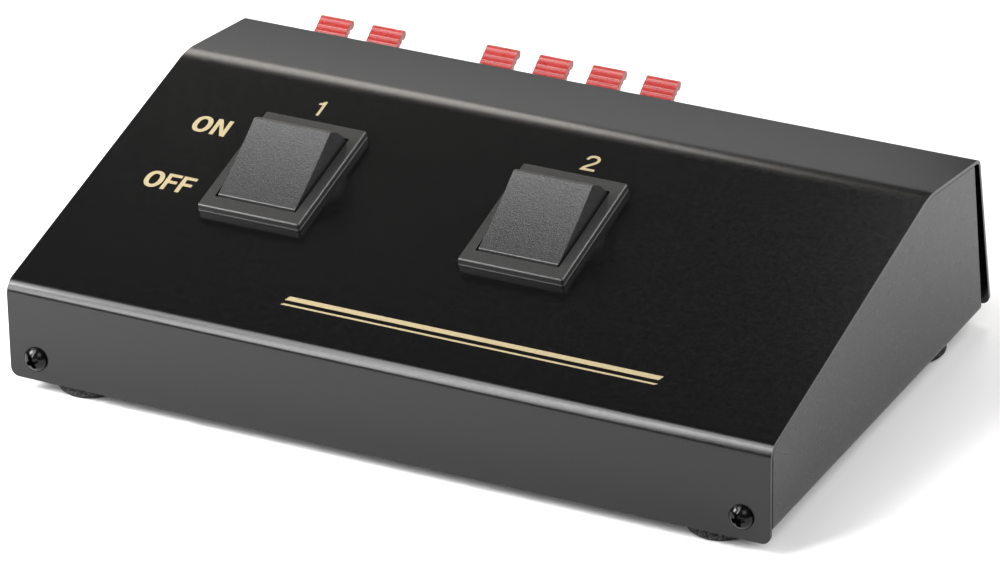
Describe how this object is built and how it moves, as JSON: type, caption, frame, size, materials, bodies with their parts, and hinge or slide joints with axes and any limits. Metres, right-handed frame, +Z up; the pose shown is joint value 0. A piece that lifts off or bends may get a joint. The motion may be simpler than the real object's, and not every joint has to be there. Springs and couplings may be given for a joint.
{
  "type": "speaker selector switch",
  "caption": "Desktop loudspeaker selector in a sloped black steel case, with rocker switches on the panel and red and black spring terminals at the rear.",
  "frame": {"origin": "middle of the bounding box at the underside of the feet", "axes": "+X along the case to the right as seen from the front, +Y from the front wall to the terminals at the rear, +Z up"},
  "size_m": [0.18, 0.127, 0.0482],
  "materials": {
    "cover_paint": "satin black paint on folded sheet steel",
    "chassis_paint": "satin black paint on folded sheet steel",
    "black_screw_steel": "glossy black plated steel",
    "foot_rubber": "matte grained rubber",
    "switch_black_plastic": "satin moulded plastic",
    "rocker_grey_plastic": "finely grained moulded plastic",
    "plunger_plastic": "plain moulded plastic",
    "spring_steel": "bare spring wire",
    "contact_copper": "bare stamped copper alloy",
    "terminal_brass": "bare stamped brass",
    "terminal_black_plastic": "smooth moulded plastic",
    "rivet_steel": "plated steel",
    "lever_red_plastic": "smooth moulded plastic",
    "lever_black_plastic": "smooth moulded plastic",
    "clamp_spring_steel": "bare spring strip",
    "wire_red_insulation": "soft insulation",
    "wire_black_insulation": "soft insulation"
  },
  "bodies": {
    "case": {"cover": "cover_paint", "chassis": "chassis_paint", "front_screws": "black_screw_steel", "rear_screws": "black_screw_steel", "foot_front_left": "foot_rubber", "foot_front_right": "foot_rubber", "foot_rear_left": "foot_rubber", "foot_rear_right": "foot_rubber", "switch_1_housing": "switch_black_plastic", "switch_1_common_terminals": "terminal_brass", "switch_1_on_terminals": "terminal_brass", "switch_2_housing": "switch_black_plastic", "switch_2_common_terminals": "terminal_brass", "switch_2_on_terminals": "terminal_brass", "input_terminal_body": "terminal_black_plastic", "output_terminal_body": "terminal_black_plastic", "terminal_rivets": "rivet_steel", "input_contact_bars": "terminal_brass", "output_contact_bars": "terminal_brass", "input_clamp_springs": "clamp_spring_steel", "output_clamp_springs": "clamp_spring_steel", "red_input_wires": "wire_red_insulation", "red_link_wires": "wire_red_insulation", "red_output_wires": "wire_red_insulation", "black_wires": "wire_black_insulation"},
    "rocker_1": {"switch_1_rocker": "rocker_grey_plastic", "switch_1_plungers": "plunger_plastic", "switch_1_plunger_springs": "spring_steel"},
    "contact_arms_1": {"switch_1_contact_arms": "contact_copper"},
    "rocker_2": {"switch_2_rocker": "rocker_grey_plastic", "switch_2_plungers": "plunger_plastic", "switch_2_plunger_springs": "spring_steel"},
    "contact_arms_2": {"switch_2_contact_arms": "contact_copper"},
    "input_red_lever_1": {"input_red_lever_1": "lever_red_plastic"},
    "input_red_lever_2": {"input_red_lever_2": "lever_red_plastic"},
    "input_black_lever_1": {"input_black_lever_1": "lever_black_plastic"},
    "input_black_lever_2": {"input_black_lever_2": "lever_black_plastic"},
    "output_red_lever_1": {"output_red_lever_1": "lever_red_plastic"},
    "output_red_lever_2": {"output_red_lever_2": "lever_red_plastic"},
    "output_red_lever_3": {"output_red_lever_3": "lever_red_plastic"},
    "output_red_lever_4": {"output_red_lever_4": "lever_red_plastic"},
    "output_black_lever_1": {"output_black_lever_1": "lever_black_plastic"},
    "output_black_lever_2": {"output_black_lever_2": "lever_black_plastic"},
    "output_black_lever_3": {"output_black_lever_3": "lever_black_plastic"},
    "output_black_lever_4": {"output_black_lever_4": "lever_black_plastic"}
  },
  "joints": [
    {"name": "rocker_1_hinge", "type": "hinge", "parent": "case", "child": "rocker_1", "pos_m": [-0.0482, -0.01206, 0.03546], "axis": [-1, 0, 0], "range_deg": [0, 36]},
    {"name": "contact_arms_1_hinge", "type": "hinge", "parent": "case", "child": "contact_arms_1", "pos_m": [-0.0482, -0.00948, 0.02586], "axis": [1, 0, 0], "range_deg": [0, 21.6]},
    {"name": "rocker_2_hinge", "type": "hinge", "parent": "case", "child": "rocker_2", "pos_m": [0.0149, -0.01206, 0.03546], "axis": [-1, 0, 0], "range_deg": [0, 36]},
    {"name": "contact_arms_2_hinge", "type": "hinge", "parent": "case", "child": "contact_arms_2", "pos_m": [0.0149, -0.00948, 0.02586], "axis": [1, 0, 0], "range_deg": [0, 21.6]},
    {"name": "input_red_lever_1_hinge", "type": "hinge", "parent": "case", "child": "input_red_lever_1", "pos_m": [-0.07365, 0.04712, 0.03143], "axis": [-1, 0, 0], "range_deg": [0, 22], "stiffness_Nm_per_rad": 0.03, "springref_deg": -5.73, "deforming": ["input_clamp_springs"]},
    {"name": "input_red_lever_2_hinge", "type": "hinge", "parent": "case", "child": "input_red_lever_2", "pos_m": [-0.06035, 0.04712, 0.03143], "axis": [-1, 0, 0], "range_deg": [0, 22], "stiffness_Nm_per_rad": 0.03, "springref_deg": -5.73},
    {"name": "input_black_lever_1_hinge", "type": "hinge", "parent": "case", "child": "input_black_lever_1", "pos_m": [-0.07365, 0.04961, 0.01928], "axis": [-1, 0, 0], "range_deg": [0, 22], "stiffness_Nm_per_rad": 0.03, "springref_deg": -5.73},
    {"name": "input_black_lever_2_hinge", "type": "hinge", "parent": "case", "child": "input_black_lever_2", "pos_m": [-0.06035, 0.04961, 0.01928], "axis": [-1, 0, 0], "range_deg": [0, 22], "stiffness_Nm_per_rad": 0.03, "springref_deg": -5.73},
    {"name": "output_red_lever_1_hinge", "type": "hinge", "parent": "case", "child": "output_red_lever_1", "pos_m": [-0.03115, 0.04698, 0.03212], "axis": [-1, 0, 0], "range_deg": [0, 22], "stiffness_Nm_per_rad": 0.03, "springref_deg": -5.73, "deforming": ["output_clamp_springs"]},
    {"name": "output_red_lever_2_hinge", "type": "hinge", "parent": "case", "child": "output_red_lever_2", "pos_m": [-0.01785, 0.04698, 0.03212], "axis": [-1, 0, 0], "range_deg": [0, 22], "stiffness_Nm_per_rad": 0.03, "springref_deg": -5.73},
    {"name": "output_red_lever_3_hinge", "type": "hinge", "parent": "case", "child": "output_red_lever_3", "pos_m": [-0.00455, 0.04698, 0.03212], "axis": [-1, 0, 0], "range_deg": [0, 22], "stiffness_Nm_per_rad": 0.03, "springref_deg": -5.73},
    {"name": "output_red_lever_4_hinge", "type": "hinge", "parent": "case", "child": "output_red_lever_4", "pos_m": [0.00875, 0.04698, 0.03212], "axis": [-1, 0, 0], "range_deg": [0, 22], "stiffness_Nm_per_rad": 0.03, "springref_deg": -5.73},
    {"name": "output_black_lever_1_hinge", "type": "hinge", "parent": "case", "child": "output_black_lever_1", "pos_m": [-0.03115, 0.04947, 0.01997], "axis": [-1, 0, 0], "range_deg": [0, 22], "stiffness_Nm_per_rad": 0.03, "springref_deg": -5.73},
    {"name": "output_black_lever_2_hinge", "type": "hinge", "parent": "case", "child": "output_black_lever_2", "pos_m": [-0.01785, 0.04947, 0.01997], "axis": [-1, 0, 0], "range_deg": [0, 22], "stiffness_Nm_per_rad": 0.03, "springref_deg": -5.73},
    {"name": "output_black_lever_3_hinge", "type": "hinge", "parent": "case", "child": "output_black_lever_3", "pos_m": [-0.00455, 0.04947, 0.01997], "axis": [-1, 0, 0], "range_deg": [0, 22], "stiffness_Nm_per_rad": 0.03, "springref_deg": -5.73},
    {"name": "output_black_lever_4_hinge", "type": "hinge", "parent": "case", "child": "output_black_lever_4", "pos_m": [0.00875, 0.04947, 0.01997], "axis": [-1, 0, 0], "range_deg": [0, 22], "stiffness_Nm_per_rad": 0.03, "springref_deg": -5.73}
  ],
  "couplings": [
    {"joint": "contact_arms_1_hinge", "follows": "rocker_1_hinge", "ratio": 0.6},
    {"joint": "contact_arms_2_hinge", "follows": "rocker_2_hinge", "ratio": 0.6}
  ]
}
